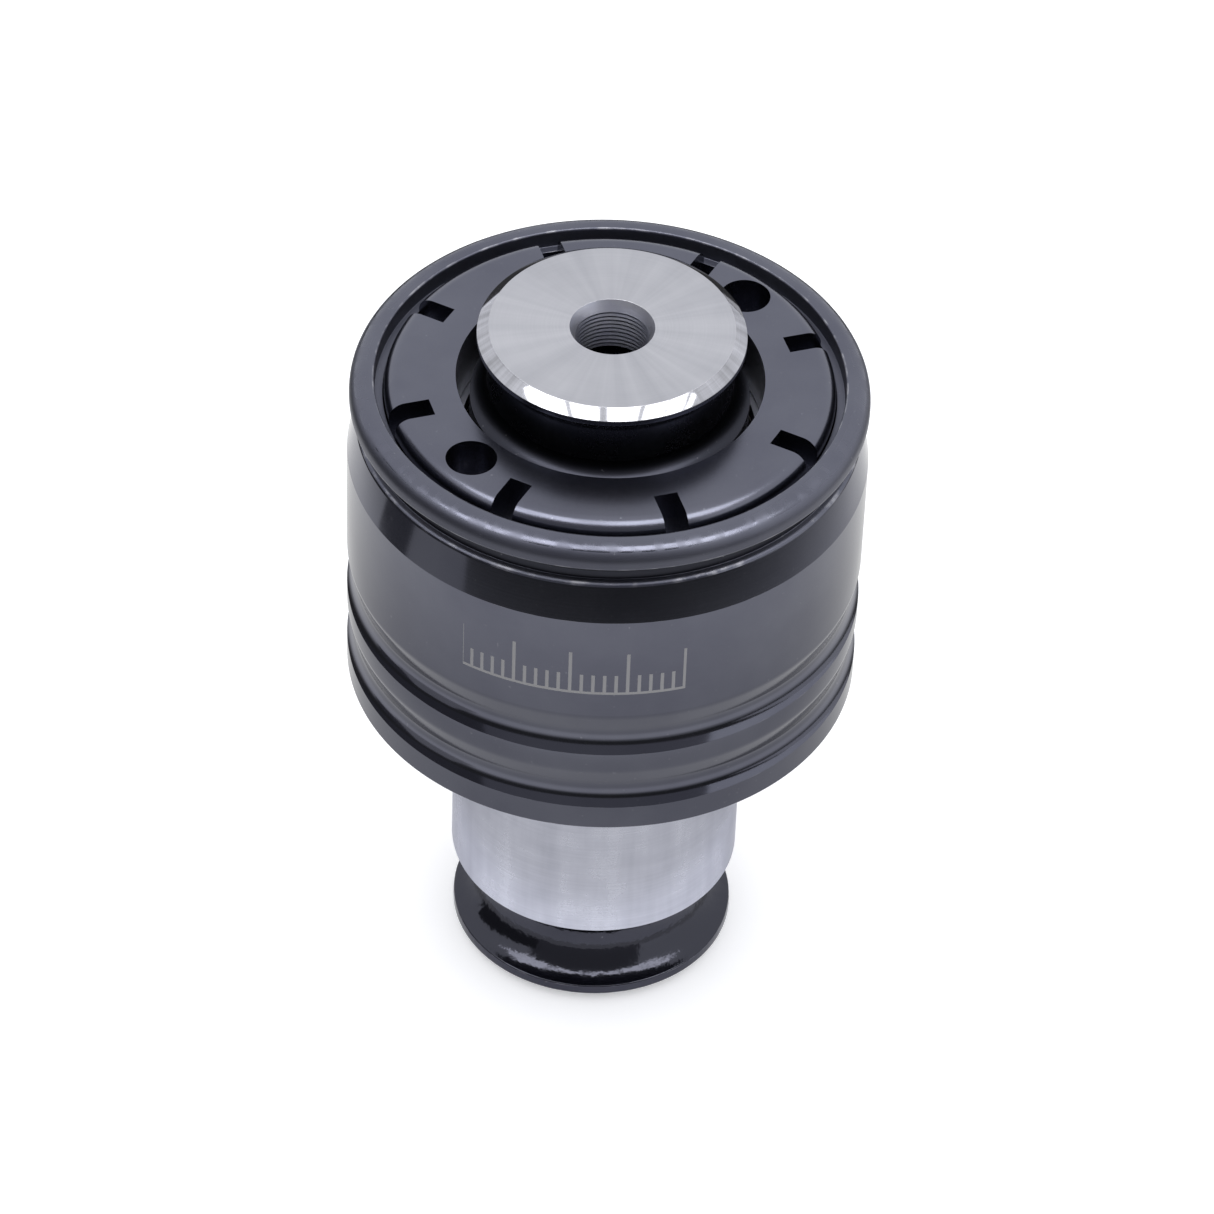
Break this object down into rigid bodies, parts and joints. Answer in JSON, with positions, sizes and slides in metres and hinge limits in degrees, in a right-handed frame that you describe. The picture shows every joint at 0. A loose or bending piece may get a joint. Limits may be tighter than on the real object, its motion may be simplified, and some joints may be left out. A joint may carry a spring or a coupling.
{
  "type": "quick change tapping collet",
  "caption": "Round tap holder: plain shank with a ball groove, wider clutch housing with a slotted adjusting nut, and a push-down release collar around the tap bore.",
  "frame": {"origin": "centre of the shank's end face, the lowest face of the part", "axes": "+Z along the turning axis from the shank end to the tap end; +X and +Y span the round section, with the shank's drive slots at +X and -X"},
  "size_m": [0.033, 0.033, 0.0509],
  "materials": {
    "black_oxide_steel": "black oxide, satin gloss",
    "ground_steel": "ground and turned bright",
    "spring_steel": "oil hardened, dull",
    "bearing_steel": "polished",
    "bronze": "machined"
  },
  "bodies": {
    "housing": {"clutch_housing": "black_oxide_steel", "drive_shank": "ground_steel", "spindle_bush": "bronze", "shank_dowel_pins": "bearing_steel", "torque_pins": "bearing_steel", "thrust_race_lower": "ground_steel", "disc_spring_1": "spring_steel", "disc_spring_2": "spring_steel", "disc_spring_3": "spring_steel", "disc_spring_4": "spring_steel"},
    "thrust_cage": {"thrust_bearing_cage": "bronze", "thrust_bearing_balls": "bearing_steel"},
    "spindle": {"tap_spindle": "black_oxide_steel", "thrust_race_upper": "ground_steel", "collar_spring": "spring_steel"},
    "clutch_ring": {"pressure_ring": "ground_steel", "clutch_balls": "bearing_steel"},
    "spring_seat": {"thrust_washer": "ground_steel"},
    "nut": {"adjusting_nut": "black_oxide_steel"},
    "collar": {"release_collar": "black_oxide_steel", "collar_snap_ring": "spring_steel"},
    "ball_1": {"lock_ball_1": "bearing_steel"},
    "ball_2": {"lock_ball_2": "bearing_steel"},
    "ball_3": {"lock_ball_3": "bearing_steel"}
  },
  "joints": [
    {"name": "clutch_slip", "type": "hinge", "parent": "housing", "child": "spindle", "pos_m": [0, 0, 0.0336], "axis": [0, 0, 1], "continuous": true},
    {"name": "thrust_cage_spin", "type": "hinge", "parent": "housing", "child": "thrust_cage", "pos_m": [0, 0, 0.0303], "axis": [0, 0, 1], "continuous": true},
    {"name": "clutch_ring_lift", "type": "slide", "parent": "housing", "child": "clutch_ring", "axis": [0, 0, 1], "range_m": [0, 0.0006], "stiffness_N_per_m": 3000, "springref_m": -0.0001, "deforming": ["disc_spring_1", "disc_spring_2", "disc_spring_3", "disc_spring_4"]},
    {"name": "nut_turn", "type": "hinge", "parent": "spring_seat", "child": "nut", "pos_m": [0, 0, 0.0448], "axis": [0, 0, 1], "range_deg": [-92, 92]},
    {"name": "nut_advance", "type": "slide", "parent": "housing", "child": "spring_seat", "axis": [0, 0, 1], "range_m": [-0.00025, 0.00025], "deforming": ["disc_spring_1", "disc_spring_2", "disc_spring_3", "disc_spring_4"]},
    {"name": "collar_push", "type": "slide", "parent": "spindle", "child": "collar", "axis": [0, 0, -1], "range_m": [0, 0.002], "stiffness_N_per_m": 1500, "springref_m": -0.0003, "deforming": ["collar_spring"]},
    {"name": "lock_ball_1_out", "type": "slide", "parent": "spindle", "child": "ball_1", "axis": [0, 1, 0], "range_m": [0, 0.00041]},
    {"name": "lock_ball_2_out", "type": "slide", "parent": "spindle", "child": "ball_2", "axis": [-0.866, -0.5, 0], "range_m": [0, 0.00041]},
    {"name": "lock_ball_3_out", "type": "slide", "parent": "spindle", "child": "ball_3", "axis": [0.866, -0.5, 0], "range_m": [0, 0.00041]}
  ],
  "couplings": [
    {"joint": "lock_ball_1_out", "follows": "collar_push", "ratio": 0.2},
    {"joint": "lock_ball_2_out", "follows": "collar_push", "ratio": 0.2},
    {"joint": "lock_ball_3_out", "follows": "collar_push", "ratio": 0.2},
    {"joint": "nut_turn", "follows": "nut_advance", "rad_per_m": 6283.2}
  ]
}
